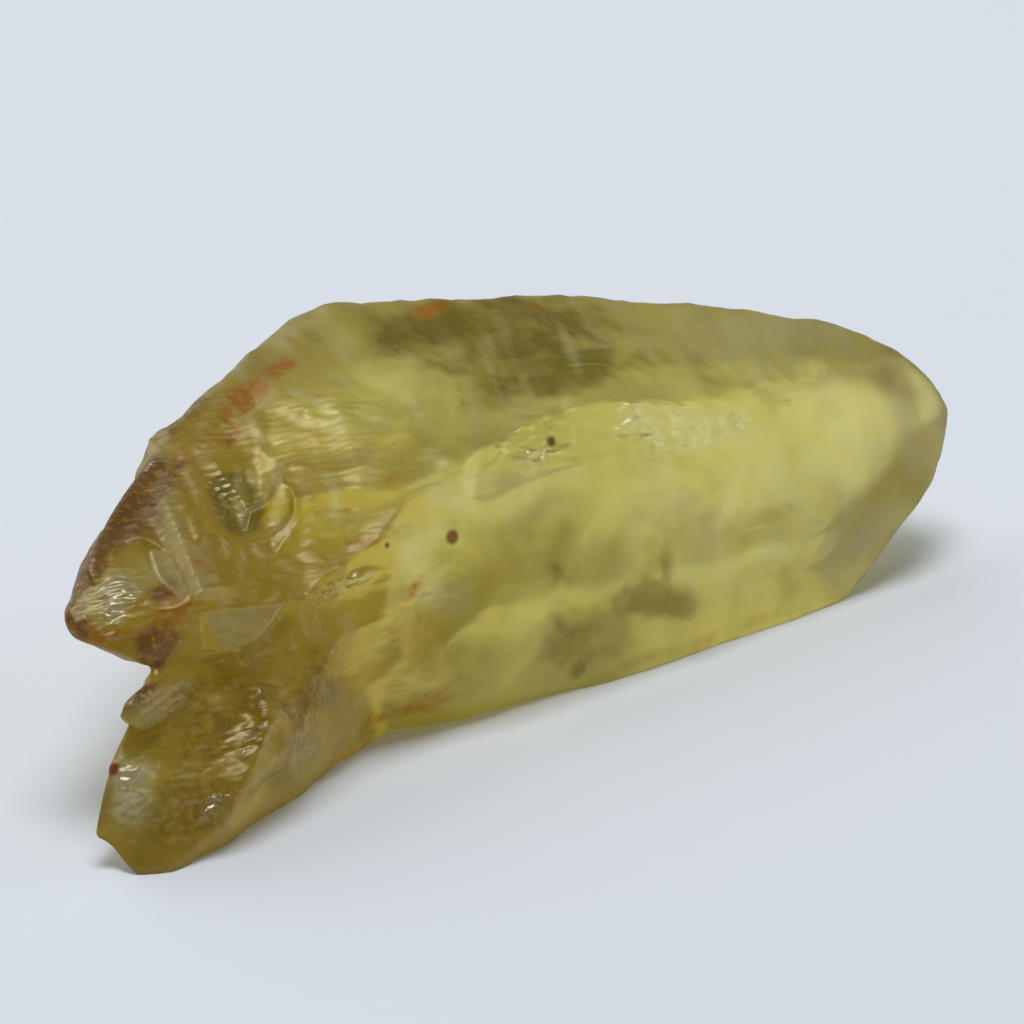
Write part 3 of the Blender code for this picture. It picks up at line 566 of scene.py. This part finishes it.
def step_noise(points, seed):
    """Flat plates with steps between them: each point takes the tilt and the lift of its nearest seed."""
    tilts = np.random.default_rng(seed + 2).normal(size=(PICKS, 3)) * PLATE_TILT
    lifts = np.random.default_rng(seed + 3).random(PICKS) - 0.5
    nearest = np.full(len(points), np.inf)
    height = np.zeros(len(points))
    for apart, pick in scattered_seeds(points, seed):
        distance = (apart**2).sum(1)
        closer = distance < nearest
        nearest = np.minimum(nearest, distance)
        height = np.where(closer, (apart * tilts[pick]).sum(1) + lifts[pick], height)
    return height


def octaves(points, layers):
    """Sum of layers of gradient noise, each with its own size, height and seed."""
    return sum(tall * swell_noise(points / size, seed) for size, tall, seed in layers)


def chips(points, layers, prism):
    """Sum of layers of chips, each with its own size, height and seed, lower on prism faces."""
    height = np.zeros(len(points))
    for size, tall, seed in layers:
        height += tall * (chip_noise(points / size, seed) - CHIP_MEAN) * (1.0 - PRISM_CALM * prism)
    return height


def growth_lines(points, layers):
    """Ridges across the long axis: noise that is short along the axis and stretched across it."""
    along = points @ GROWTH_AXIS
    across = (points - along[:, None] * GROWTH_AXIS) / GROWTH_STRETCH
    return octaves(across + along[:, None] * GROWTH_AXIS, layers)


def warped(points, warps=(WARP,)):
    """Points moved by smooth noise, so that a pattern read there loses its regular shape."""
    moved = points
    for size, reach, seed in warps:
        moves = [swell_noise(points / size, seed + 10 * axis) for axis in range(3)]
        moved = moved + reach * np.column_stack(moves)
    return moved


def local_frame(facing, run):
    """Unit vectors along the run, across it and out of the surface, the run laid square to the facing."""
    out = np.array(facing) / np.linalg.norm(facing)
    along = np.array(run) - out * np.dot(run, out)
    along /= np.linalg.norm(along)
    return along, np.cross(out, along), out


def oval_share(points, ovals):
    """The strongest of the ovals in each point: full inside its core, then a smooth step down to its rim."""
    share = np.zeros(len(points))
    for place, facing, run, half, strength in ovals:
        apart = (points - place) @ np.array(local_frame(facing, run)).T
        distance = np.sqrt(((apart / half) ** 2).sum(1))
        share = np.maximum(share, strength * smooth_step(distance, 1.0, OVAL_CORE))
    return share


def scarred(points, moved, ways, place, facing, run, half_length, half_width, depth):
    """Points cut back along their rays to a bowl, where they stand outside it.

    The bowl is as deep as the depth in its middle, and rises with the squared distance, in half lengths and
    half widths, to a rim. The distance is read at the moved points, which makes the rim irregular.
    """
    along, across, out = local_frame(facing, run)
    apart = moved - place
    distance = (apart @ along / half_length) ** 2 + (apart @ across / half_width) ** 2
    height = (points - place) @ out
    near = (distance < SCAR_REACH) & (height > -half_width)
    over = np.where(near, height - depth * (distance - 1.0), 0.0)
    slope = np.maximum(ways @ out, LEAST_SLOPE)
    return points - ways * (np.maximum(over, 0.0) / slope)[:, None]


def ledge_depth(points, place, facing, run, half_width, depth):
    """Depth of a ledge: it grows evenly along the run to a steep wall, and its sides come up softly."""
    along, across, out = local_frame(facing, run)
    length = np.linalg.norm(run)
    apart = points - place
    place_on_run = apart @ along / length
    wall = np.clip((1.0 - place_on_run) * length / WALL, 0.0, 1.0)
    side = np.clip(LEDGE_SIDE * (1.0 - np.abs(apart @ across) / half_width), 0.0, 1.0)
    near = np.abs(apart @ out) < length
    return np.where(near, depth * np.clip(place_on_run, 0.0, 1.0) * wall * side, 0.0)


def prism_share(facing):
    """1 on the prism faces, which look up or back, falling to 0 where the stone turns away from them."""
    return np.clip((np.maximum(facing[:, 2], facing[:, 1]) - PRISM_FROM) / PRISM_SPAN, 0.0, 1.0)


def share_along(points, start, end):
    """0 up to the start on the X axis, rising evenly to 1 at the end."""
    return np.clip((points[..., 0] - start) / (end - start), 0.0, 1.0)


def relief(points, facing):
    """How far the solid stands out: swells, chips, growth lines on prism faces, less the ledges."""
    prism = prism_share(facing)
    moved = warped(points)
    height = octaves(points, SWELLS) + chips(moved, CHIPS, prism)
    height += growth_lines(points, GROWTH_LINES) * prism
    for ledge in LEDGES:
        height -= ledge_depth(moved, *ledge)
    return height


def fine_relief(points, facing):
    """How far the skin stands out from the solid: swells, chips, growth lines on prism faces, flaky steps."""
    prism = prism_share(facing)
    moved = warped(points)
    rough = CALM_SHARE + (1.0 - CALM_SHARE) * share_along(points, *BROKEN)
    height = rough * (octaves(moved, FINE_SWELLS) + chips(moved, FINE_CHIPS, prism))
    height += growth_lines(points, FINE_LINES) * prism
    flaky = oval_share(moved, FLAKY)
    for size, tall, seed in FLAKE_STEPS:
        height += tall * flaky * step_noise(moved / size, seed)
    return height


def rays(along, around):
    """Starts and directions of the rays.

    along runs from 0 at the left end to 1 at the right end, and around is the angle about the inner line.
    Over the ends the ray swings from the line's own direction to square with it, over the line it moves on.
    """
    line = SPINE_RIGHT - SPINE_LEFT
    length = np.linalg.norm(line)
    line = line / length
    side = np.cross((0.0, 0.0, 1.0), line)
    side /= np.linalg.norm(side)
    up = np.cross(line, side)
    place = along * (LEFT_END + length + RIGHT_END)
    left_turn = np.minimum(place / LEFT_END, 1.0)
    right_turn = np.maximum((place - LEFT_END - length) / RIGHT_END, 0.0)
    swing = (left_turn + right_turn) * np.pi / 2.0
    starts = SPINE_LEFT + np.clip(place - LEFT_END, 0.0, length)[:, None] * line
    square = np.cos(around)[:, None] * side + np.sin(around)[:, None] * up
    ways = np.sin(swing)[:, None] * square - np.cos(swing)[:, None] * line
    return starts, ways


def stone_points(along, around):
    """Points of the solid's surface before it is cut flat at the ground, the way it faces, and two masks.

    A ray takes the larger of its lengths to the body and the leg, plus a small smooth blend. Scars are cut
    into that, and shards stand out of it. The masks say where a shard is, and how pale it is: painted light on
    the rib and spur.
    """
    starts, ways = rays(along, around)
    length, _, facing = leaving_length(starts, ways, BODY)
    leg_length, enters, leg_facing = leaving_length(starts, ways, LEG)
    leg_length[enters > length] = 0.0
    in_leg = leg_length > length
    facing[in_leg] = leg_facing[in_leg]
    gap = np.abs(length - leg_length)
    length = np.maximum(length, leg_length) + JOINT_BLEND * np.log1p(np.exp(-gap / JOINT_BLEND))
    bare = starts + ways * length[:, None]
    points = bare + ways * relief(bare, facing)[:, None]
    moved = warped(points, (WARP, FINE_WARP))
    for scar in SCARS:
        points = scarred(points, moved, ways, *scar)
    in_shard = np.zeros(len(points))
    paleness = np.zeros(len(points))
    for shard, pale in zip(SHARDS, SHARD_PALENESS):
        shard_length, enters, shard_facing = leaving_length(starts, ways, shard, SHARD_POWER)
        reach = ((points - starts) * ways).sum(1)
        out = (enters < shard_length) & (enters < length) & (shard_length > reach)
        points[out] = (starts + ways * shard_length[:, None])[out]
        facing[out] = shard_facing[out]
        in_shard[out] = 1.0
        paleness[out] = pale
    return points, facing, in_shard, paleness


def eased(grid, times):
    """The grid with each point moved half way to the mean of its four neighbours, as many times as asked.

    The first and last ring, which are the two poles, stay.
    """
    for _ in range(times):
        mean = np.roll(grid, 1, axis=1) + np.roll(grid, -1, axis=1)
        mean[1:-1] += grid[:-2] + grid[2:]
        grid[1:-1] += 0.5 * (mean[1:-1] / 4.0 - grid[1:-1])
    return grid


def grid_normals(grid):
    """Outward unit normals: the cross product of the steps along the rings and round them."""
    along = np.gradient(grid, axis=0)
    around = np.roll(grid, -1, axis=1) - np.roll(grid, 1, axis=1)
    normals = np.cross(around, along)
    normals[0] = normals[1].mean(0)
    normals[-1] = normals[-2].mean(0)
    normals /= np.maximum(np.linalg.norm(normals, axis=2), TINY)[:, :, None]
    outward = np.sign((normals * (grid - grid.mean((0, 1)))).sum())
    return normals * outward


def closed_faces(rings, columns):
    """Quads between the rings and triangles round the two poles, for points stored pole, rings, pole."""
    step = np.arange(columns)
    after = (step + 1) % columns
    first = 1 + np.arange(rings - 1)[:, None] * columns
    quads = np.stack((first + step, first + after, first + after + columns, first + step + columns), -1)
    last_ring = 1 + (rings - 1) * columns
    left = np.column_stack((np.zeros(columns, int), after + 1, step + 1))
    right = np.column_stack((np.full(columns, last_ring + columns), last_ring + step, last_ring + after))
    return left.tolist() + quads.reshape(-1, 4).tolist() + right.tolist()


def torn(share, points):
    """The share with ragged edges: noise is added where it isn't 0, and what stays low is cut away."""
    ragged = share + octaves(points, TEARS) * smooth_step(share, 0.0, TORN_FROM)
    return smooth_step(ragged, 0.0, TORN_TO)


def skin_masks(grid, flat, facing, paleness):
    """Stains, painted light and painted shade, from warped points and torn. Clouds add olive and eat into the
    frost.

    Veils, growth lines on the prism faces, and the pale shards, painted light on the rib and spur, add to the
    frost.
    """
    moved = warped(grid.reshape(-1, 3))
    masks = {name: torn(oval_share(moved, ovals), flat) for name, ovals in OVAL_MASKS.items()}
    cloud = octaves(flat, CLOUDS)
    veil = smooth_step(growth_lines(moved, VEILS), *VEIL_RANGE) * prism_share(facing)
    masks["olive_and_shade"] = np.maximum(masks["olive_and_shade"], CLOUD_SHARE * smooth_step(cloud, *CLOUD_RANGE))
    frost_and_light = np.maximum(masks["frost_and_light"] * smooth_step(cloud, *FROST_RANGE), VEIL_SHARE * veil)
    masks["frost_and_light"] = np.maximum(frost_and_light, paleness)
    return {name: values.reshape(grid.shape[:2]) for name, values in masks.items()}


def crystal_skin(shape):
    """Points of the finished surface, its masks, and how far it was moved from the measured frame.

    The solid's surface on the fine grid is eased, more so where it is worn, moved along its normals by the
    fine relief, held above the ground, and moved in plan to the middle of the solid's box.
    """
    rows = np.linspace(0.0, 1.0, shape.rings + 2) ** ROW_CROWDING
    turns = np.linspace(-np.pi, np.pi, shape.columns, endpoint=False)
    turns = turns - COLUMN_CROWDING * np.sin(turns - CROWDED_SIDE)
    along, around = np.meshgrid(rows, turns, indexing="ij")
    points, facing, in_shard, paleness = stone_points(along.ravel(), around.ravel())
    grid = eased(points.reshape(*along.shape, 3), SMOOTHINGS)
    worn = share_along(grid, *WORN)[:, :, None]
    grid = grid + worn * (eased(grid.copy(), WORN_SMOOTHINGS) - grid)
    flat = grid.reshape(-1, 3)
    height = shape.relief * fine_relief(flat, facing) * (1.0 - SHARD_CALM * in_shard)
    height = height.reshape(along.shape)
    height[0] = height[0].mean()
    height[-1] = height[-1].mean()
    grid = grid + grid_normals(grid) * height[:, :, None]
    masks = skin_masks(grid, flat, facing, paleness)
    grid[:, :, 2] = np.maximum(grid[:, :, 2], 0.0)
    low, high = (np.array(corner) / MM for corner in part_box(SOLID))
    shift = (low + high - grid.min((0, 1)) - grid.max((0, 1))) / 2.0
    shift[2] = 0.0
    return grid + shift, masks, shift


def poles_once(values):
    """Grid values as one row, with each pole's ring kept as a single value."""
    return np.concatenate((values[0, :1], values[1:-1].reshape(-1, *values.shape[2:]), values[-1, :1]))


def crystal_mesh(shape):
    """The closed mesh of the finished surface, with its masks as point attributes."""
    grid, masks, shift = crystal_skin(shape)
    mesh = bpy.data.meshes.new(PIECE)
    mesh.from_pydata((poles_once(grid) * MM).tolist(), [], closed_faces(shape.rings, shape.columns))
    for name, kinds in ATTRIBUTES.items():
        layer = mesh.attributes.new(name, "FLOAT_VECTOR", "POINT")
        values = np.stack([poles_once(masks[kind]) for kind in kinds], axis=1)
        layer.data.foreach_set("vector", values.astype(np.float32).ravel())
    mesh.update()
    mesh.shade_smooth()
    return mesh, shift


def set_inputs(tree, node, inputs):
    """Each input of the node is set to its value, or linked where that is another node's output."""
    for socket, value in inputs.items():
        if isinstance(value, bpy.types.NodeSocket):
            tree.links.new(value, node.inputs[socket])
        else:
            node.inputs[socket].default_value = value


def put(tree, kind, inputs=None, **settings):
    """A new node in the tree, with its settings and its inputs."""
    node = tree.nodes.new(kind)
    for name, value in settings.items():
        setattr(node, name, value)
    set_inputs(tree, node, inputs or {})
    return node


def maths(tree, operation, *values, **settings):
    """The result of a math node on the values."""
    return put(tree, "ShaderNodeMath", dict(enumerate(values)), operation=operation, **settings).outputs[0]


def blended(tree, share, first, second):
    """The colour that goes from the first to the second with the share."""
    node = put(tree, "ShaderNodeMix", {"Factor": share}, data_type="RGBA")
    for name, value in (("A", first), ("B", second)):
        socket = next(s for s in node.inputs if s.name == name and s.type == "RGBA")
        if isinstance(value, bpy.types.NodeSocket):
            tree.links.new(value, socket)
        else:
            socket.default_value = (*value, 1.0)
    return next(s for s in node.outputs if s.type == "RGBA")


def ramped(tree, value, start, end, kind="SMOOTHSTEP"):
    """0 at the start, 1 at the end and a smooth step between, or an even rise where the kind is LINEAR."""
    inputs = {"Value": value, "From Min": start, "From Max": end}
    return put(tree, "ShaderNodeMapRange", inputs, interpolation_type=kind).outputs["Result"]


def pigment_group():
    """A tint laid over a colour by its share, which a noise value round 0 tears, scaling it up and down."""
    group = bpy.data.node_groups.new("ragged_tint", "ShaderNodeTree")
    for name in ("Under", "Tint"):
        group.interface.new_socket(name, in_out="INPUT", socket_type="NodeSocketColor")
    for name in ("Share", "Tear", "Tearing", "Strength"):
        group.interface.new_socket(name, in_out="INPUT", socket_type="NodeSocketFloat")
    group.interface.new_socket("Color", in_out="OUTPUT", socket_type="NodeSocketColor")
    given = put(group, "NodeGroupInput").outputs
    scale = maths(group, "MULTIPLY_ADD", given["Tear"], given["Tearing"], given["Strength"])
    mask = maths(group, "MULTIPLY", given["Share"], scale, use_clamp=True)
    put(group, "NodeGroupOutput", {"Color": blended(group, mask, given["Under"], given["Tint"])})
    return group


def crystal_material(look, shift):
    """Cloudy yellow crystal: plain transmission and absorption, with colour, gloss and bump from its nodes.

    Over a colour from pale to umber lie each mask's tint, painted light and shade among them, pale dashes in
    the streaks, partly painted glints, and the specks.
    """
    material = bpy.data.materials.new("lemon_crystal")
    material.use_nodes = True
    tree = material.node_tree
    place = put(tree, "ShaderNodeTexCoord").outputs["Object"]
    masks = {}
    for name, kinds in ATTRIBUTES.items():
        vector = put(tree, "ShaderNodeAttribute", attribute_name=name).outputs["Vector"]
        masks.update(zip(kinds, put(tree, "ShaderNodeSeparateXYZ", {0: vector}).outputs))
    along = put(tree, "ShaderNodeSeparateXYZ", {0: place}).outputs["X"]
    broken = ramped(tree, along, *((x + shift[0]) * MM for x in BROKEN), kind="LINEAR")
    grain = put(tree, "ShaderNodeTexNoise", {"Vector": place, **GRAIN}).outputs[0]

    colour = blended(tree, broken, look.pale, look.umber)
    uneven = maths(tree, "SUBTRACT", grain, GRAIN_MEAN)
    tear = maths(tree, "MULTIPLY", uneven, maths(tree, "ADD", broken, CALM_TEAR))
    pigment = pigment_group()
    for name, (tearing, strength) in LAYERS.items():
        inputs = {
            "Under": colour, "Tint": (*getattr(look, name), 1.0), "Share": masks[name], "Tear": tear,
            "Tearing": tearing, "Strength": strength,
        }
        colour = put(tree, "ShaderNodeGroup", inputs, node_tree=pigment).outputs["Color"]
    turn = Matrix(local_frame(*STREAK_TURN)).transposed().to_euler()[:]
    laid = {"Vector": place, "Rotation": turn, "Scale": (STREAK_STRETCH * MM, MM, MM)}
    turned = put(tree, "ShaderNodeMapping", laid, vector_type="TEXTURE").outputs[0]
    streaks = put(tree, "ShaderNodeTexNoise", {"Vector": turned, **STREAKS}).outputs[0]
    # Pale dashes at the broken end, partly whitish scratches and partly painted glints
    dashes = maths(tree, "MULTIPLY", ramped(tree, streaks, *DASH_RANGE), broken)
    colour = blended(tree, maths(tree, "MULTIPLY", dashes, DASH_SHARE), colour, DASH_TINT)
    for spot, radius, tint in SPECKS:
        middle = tuple((spot + shift) * MM)
        apart = put(tree, "ShaderNodeVectorMath", {0: place, 1: middle}, operation="DISTANCE")
        share = ramped(tree, apart.outputs["Value"], radius * MM, radius * MM / 2.0)
        colour = blended(tree, share, colour, tint)

    flaky = masks["flaky"]
    rough = maths(tree, "MULTIPLY_ADD", broken, CRACKLE_SHARE, flaky)
    crackle = {"Height": maths(tree, "MULTIPLY", streaks, rough), "Distance": CRACKLE_DEPTH, "Strength": 1.0}
    bump = put(tree, "ShaderNodeBump", crackle).outputs[0]
    shader = tree.nodes["Principled BSDF"]
    shader.distribution = "GGX"
    set_inputs(tree, shader, {
        "Base Color": colour, "Metallic": 0.0, "IOR": look.refraction, "Specular Tint": MIRROR_TINT,
        "Roughness": maths(tree, "MULTIPLY_ADD", grain, GRAIN_ROUGHNESS, LEAST_ROUGHNESS),
        "Normal": bump, "Coat Normal": bump, "Coat Weight": maths(tree, "MULTIPLY", flaky, flaky),
        "Coat Roughness": COAT_ROUGHNESS, "Coat IOR": COAT_REFRACTION,
        "Transmission Weight": look.clearness,
    })
    tint = {"Color": (*look.depth_tint, 1.0), "Density": look.density}
    inside = put(tree, "ShaderNodeVolumeAbsorption", tint).outputs[0]
    set_inputs(tree, tree.nodes["Material Output"], {"Volume": inside})
    return material


def floor_material(colour):
    """A plain matt surface with a trace of unevenness in its tone."""
    material = bpy.data.materials.new("floor_white")
    material.use_nodes = True
    tree = material.node_tree
    place = put(tree, "ShaderNodeTexCoord").outputs["Object"]
    noise = put(tree, "ShaderNodeTexNoise", {"Vector": place, **FLOOR_NOISE}).outputs[0]
    tone = blended(tree, noise, [c * FLOOR_TONE for c in colour], colour)
    shine = {"Base Color": tone, "Roughness": FLOOR_ROUGHNESS, "Specular IOR Level": FLOOR_SHINE}
    set_inputs(tree, tree.nodes["Principled BSDF"], shine)
    return material


def studio_world(stage):
    """A pale wall all round, up to about a third of the way to the zenith, and dimmer above."""
    world = bpy.data.worlds.new("studio")
    world.use_nodes = True
    tree = world.node_tree
    way = put(tree, "ShaderNodeTexCoord").outputs["Generated"]
    height = put(tree, "ShaderNodeSeparateXYZ", {0: way}).outputs["Z"]
    wall, ceiling = ([c * light for c in WALL_TINT] for light in (stage.wall, stage.ceiling))
    tone = blended(tree, ramped(tree, height, *WALL_TOP), wall, ceiling)
    set_inputs(tree, tree.nodes["Background"], {"Color": tone})
    return world


def add_object(name, data):
    """An object that shows the data, linked to the scene."""
    made = bpy.data.objects.new(name, data)
    bpy.context.scene.collection.objects.link(made)
    return made


def add_lamp(name, place, side, power):
    """A square soft light that looks at the origin."""
    light = bpy.data.lights.new(name, "AREA")
    light.size = side
    light.energy = power
    lamp = add_object(name, light)
    lamp.location = place
    lamp.rotation_euler = (-Vector(place)).to_track_quat("-Z", "Y").to_euler()


def add_camera(stage, target):
    """A camera that looks at the target from the stage's angles and shows the view width there."""
    lens = bpy.data.cameras.new("camera")
    lens.sensor_width = SENSOR_WIDTH
    lens.lens = lens.sensor_width * stage.distance / stage.view_width
    lens.clip_start = CLIP_START
    camera = add_object("camera", lens)
    level = np.cos(stage.elevation)
    back = Vector((
        np.sin(stage.azimuth) * level, -np.cos(stage.azimuth) * level, np.sin(stage.elevation)
    ))
    camera.location = target + back * stage.distance
    camera.rotation_euler = (-back).to_track_quat("-Z", "Y").to_euler()
    bpy.context.scene.camera = camera


class TOPAZ_OT_crystal(bpy.types.Operator):
    """Make the worn, see-through crystal in place of the plain solid"""

    bl_idname = "topaz.make_crystal"
    bl_label = "Make the crystal"

    def execute(self, context):
        mesh, shift = crystal_mesh(context.scene.topaz_shape)
        mesh.materials.append(crystal_material(context.scene.topaz_look, shift))
        piece = add_object(PIECE, mesh)
        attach(piece, "root")
        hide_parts(SOLID)
        context.scene["topaz_shift"] = shift.tolist()
        return {"FINISHED"}


class TOPAZ_OT_stage(bpy.types.Operator):
    """Set the pale floor, the soft light and the camera"""

    bl_idname = "topaz.set_stage"
    bl_label = "Set the stage"

    def execute(self, context):
        scene = context.scene
        stage = scene.topaz_stage
        mesh = bpy.data.meshes.new("floor")
        sides = ((-1, -1), (1, -1), (1, 1), (-1, 1))
        corners = [(x * FLOOR_REACH, y * FLOOR_REACH, FLOOR_LEVEL) for x, y in sides]
        mesh.from_pydata(corners, [], [(0, 1, 2, 3)])
        mesh.materials.append(floor_material(stage.floor))
        floor = add_object("floor", mesh)
        scene.world = studio_world(stage)
        for lamp in LAMPS:
            add_lamp(*lamp)
        scene.view_settings.view_transform = "Standard"
        add_camera(stage, Vector(scene["topaz_shift"]) * MM + Vector((0.0, 0.0, AIM_HEIGHT)))
        return {"FINISHED"}


class TOPAZ_PT_panel(bpy.types.Panel):
    """The stone's operators and settings in the sidebar"""

    bl_label = "Rough topaz"
    bl_space_type = "VIEW_3D"
    bl_region_type = "UI"
    bl_category = "Topaz"

    def draw(self, context):
        layout = self.layout
        for operator in (TOPAZ_OT_crystal, TOPAZ_OT_stage):
            layout.operator(operator.bl_idname)
        for name, group in GROUPS.items():
            box = layout.box()
            for setting in group.__annotations__:
                box.prop(getattr(context.scene, name), setting)


GROUPS = {"topaz_shape": TopazShape, "topaz_look": TopazLook, "topaz_stage": TopazStage}
CLASSES = (*GROUPS.values(), TOPAZ_OT_crystal, TOPAZ_OT_stage, TOPAZ_PT_panel)


def register():
    for kind in CLASSES:
        bpy.utils.register_class(kind)
    for name, group in GROUPS.items():
        setattr(bpy.types.Scene, name, bpy.props.PointerProperty(type=group))


def unregister():
    for name in GROUPS:
        delattr(bpy.types.Scene, name)
    for kind in reversed(CLASSES):
        bpy.utils.unregister_class(kind)


def main():
    register()
    bpy.ops.topaz.make_crystal()
    bpy.ops.topaz.set_stage()


if __name__ == "__main__":
    main()
